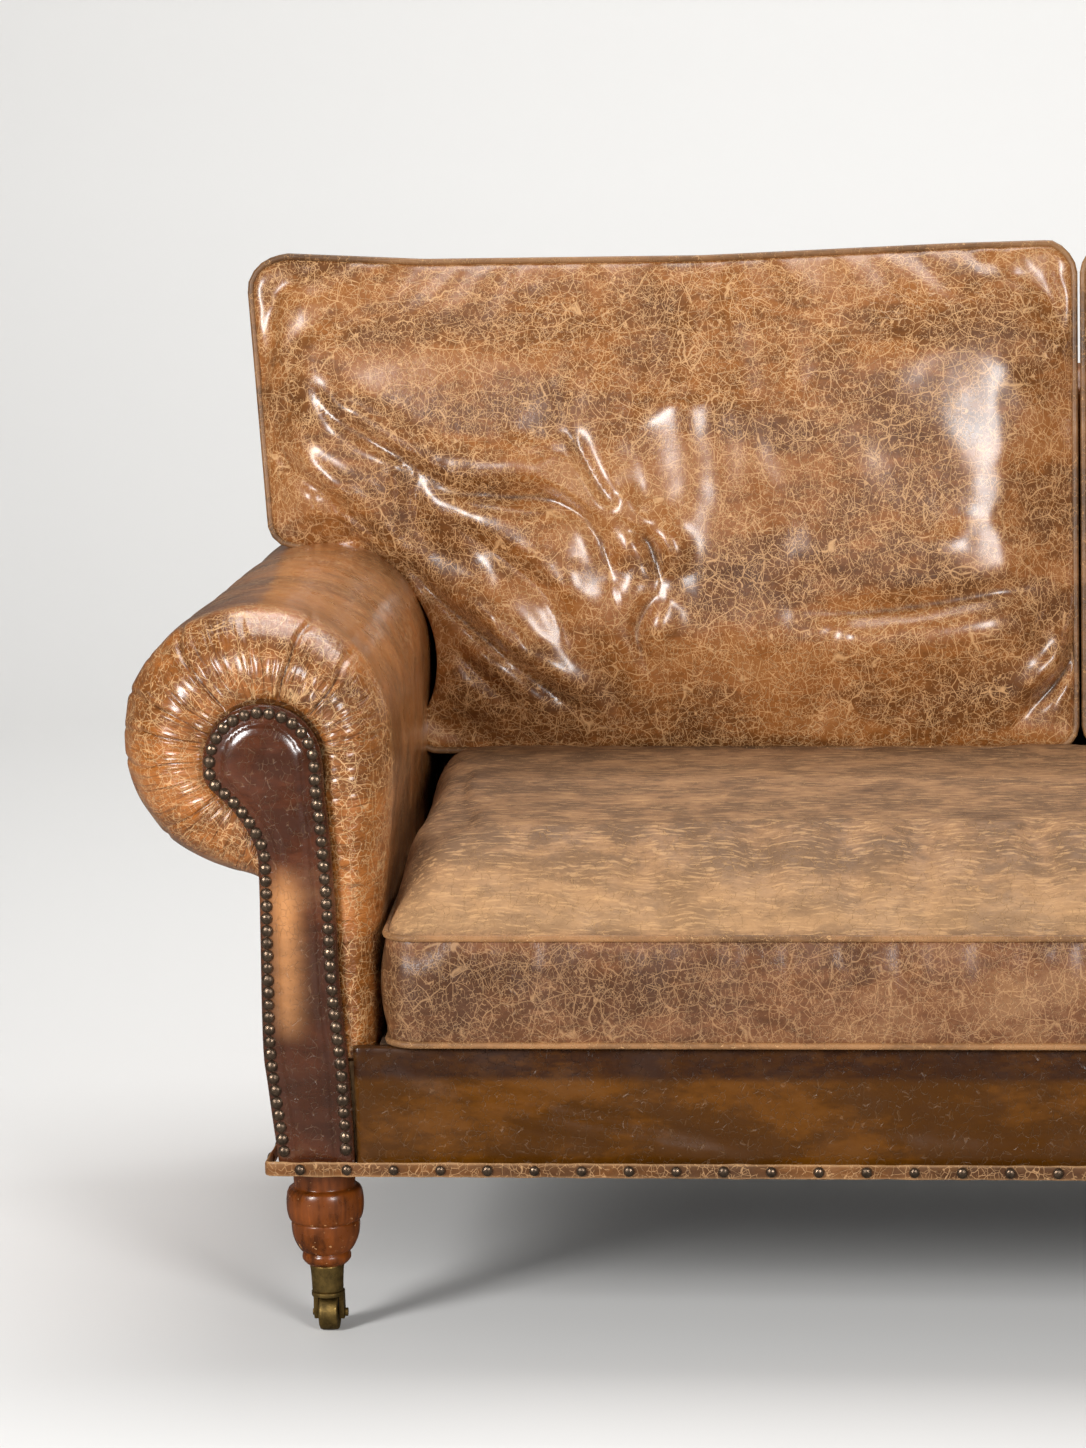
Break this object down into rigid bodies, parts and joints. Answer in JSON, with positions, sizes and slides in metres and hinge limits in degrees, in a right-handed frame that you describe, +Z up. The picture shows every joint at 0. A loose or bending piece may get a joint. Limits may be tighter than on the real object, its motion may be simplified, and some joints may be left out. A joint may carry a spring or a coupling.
{
  "type": "worn leather sofa",
  "caption": "Upholstered roll-arm sofa with a bench seat cushion, loose back cushions, close-nailed arm panels and turned legs on swivelling brass castors.",
  "frame": {"origin": "floor level under the middle of the sofa's overall box", "axes": "+X to the right seen from the front, +Y to the back, +Z up; the front faces -Y"},
  "size_m": [1.932, 0.9918, 1.0568],
  "materials": {
    "frame_wood": "sawn beech, unfinished",
    "leg_wood": "stained and varnished, chipped",
    "aged_brass": "dull, aged",
    "webbing": "jute",
    "platform_cloth": "woven",
    "bottom_lining": "black, matte",
    "arm_leather": "worn, semi-gloss",
    "panel_leather": "dark, semi-gloss",
    "border_leather": "worn, semi-gloss",
    "seat_leather": "very worn, matte",
    "back_leather": "cracked, waxed"
  },
  "bodies": {
    "root": {"arm_board_left": "frame_wood", "arm_board_right": "frame_wood", "arm_cover_left": "arm_leather", "arm_cover_right": "arm_leather", "arm_end_left": "arm_leather", "arm_end_right": "arm_leather", "arm_panel_left": "panel_leather", "arm_panel_right": "panel_leather", "arm_stump_left": "frame_wood", "arm_stump_right": "frame_wood", "back_cushion_left": "back_leather", "back_cushion_right": "back_leather", "back_low_rail": "frame_wood", "back_post_left": "frame_wood", "back_post_right": "frame_wood", "back_rail": "frame_wood", "back_top_rail": "frame_wood", "back_webbing": "webbing", "base_band": "border_leather", "castor_cup_front_left": "aged_brass", "castor_cup_front_right": "aged_brass", "castor_cup_rear_left": "aged_brass", "castor_cup_rear_right": "aged_brass", "centre_rail": "frame_wood", "corner_block_front_left": "frame_wood", "corner_block_front_right": "frame_wood", "corner_block_rear_left": "frame_wood", "corner_block_rear_right": "frame_wood", "dust_cover": "bottom_lining", "front_border": "border_leather", "front_rail": "frame_wood", "inside_back": "arm_leather", "leg_front_left": "leg_wood", "leg_front_right": "leg_wood", "leg_rear_left": "leg_wood", "leg_rear_right": "leg_wood", "outside_arm_left": "arm_leather", "outside_arm_right": "arm_leather", "outside_back": "arm_leather", "seat_cushion": "seat_leather", "seat_deck": "platform_cloth", "seat_webbing": "webbing", "side_rail_left": "frame_wood", "side_rail_right": "frame_wood", "stuff_rail_left": "frame_wood", "stuff_rail_right": "frame_wood"},
    "castor_front_left": {"castor_fork_front_left": "aged_brass", "castor_axle_front_left": "aged_brass"},
    "wheel_front_left": {"castor_wheel_front_left": "aged_brass"},
    "castor_front_right": {"castor_fork_front_right": "aged_brass", "castor_axle_front_right": "aged_brass"},
    "wheel_front_right": {"castor_wheel_front_right": "aged_brass"},
    "castor_rear_left": {"castor_fork_rear_left": "aged_brass", "castor_axle_rear_left": "aged_brass"},
    "wheel_rear_left": {"castor_wheel_rear_left": "aged_brass"},
    "castor_rear_right": {"castor_fork_rear_right": "aged_brass", "castor_axle_rear_right": "aged_brass"},
    "wheel_rear_right": {"castor_wheel_rear_right": "aged_brass"}
  },
  "joints": [
    {"name": "swivel_front_left", "type": "hinge", "parent": "root", "child": "castor_front_left", "pos_m": [-0.773, -0.41869, 0.03977], "axis": [0, 0, 1], "continuous": true},
    {"name": "roll_front_left", "type": "hinge", "parent": "castor_front_left", "child": "wheel_front_left", "pos_m": [-0.773, -0.40969, 0.01827], "axis": [1, 0, 0], "continuous": true},
    {"name": "swivel_front_right", "type": "hinge", "parent": "root", "child": "castor_front_right", "pos_m": [0.773, -0.41869, 0.03977], "axis": [0, 0, 1], "continuous": true},
    {"name": "roll_front_right", "type": "hinge", "parent": "castor_front_right", "child": "wheel_front_right", "pos_m": [0.773, -0.40969, 0.01827], "axis": [1, 0, 0], "continuous": true},
    {"name": "swivel_rear_left", "type": "hinge", "parent": "root", "child": "castor_rear_left", "pos_m": [-0.773, 0.34131, 0.03977], "axis": [0, 0, 1], "continuous": true},
    {"name": "roll_rear_left", "type": "hinge", "parent": "castor_rear_left", "child": "wheel_rear_left", "pos_m": [-0.773, 0.35031, 0.01827], "axis": [1, 0, 0], "continuous": true},
    {"name": "swivel_rear_right", "type": "hinge", "parent": "root", "child": "castor_rear_right", "pos_m": [0.773, 0.34131, 0.03977], "axis": [0, 0, 1], "continuous": true},
    {"name": "roll_rear_right", "type": "hinge", "parent": "castor_rear_right", "child": "wheel_rear_right", "pos_m": [0.773, 0.35031, 0.01827], "axis": [1, 0, 0], "continuous": true}
  ]
}
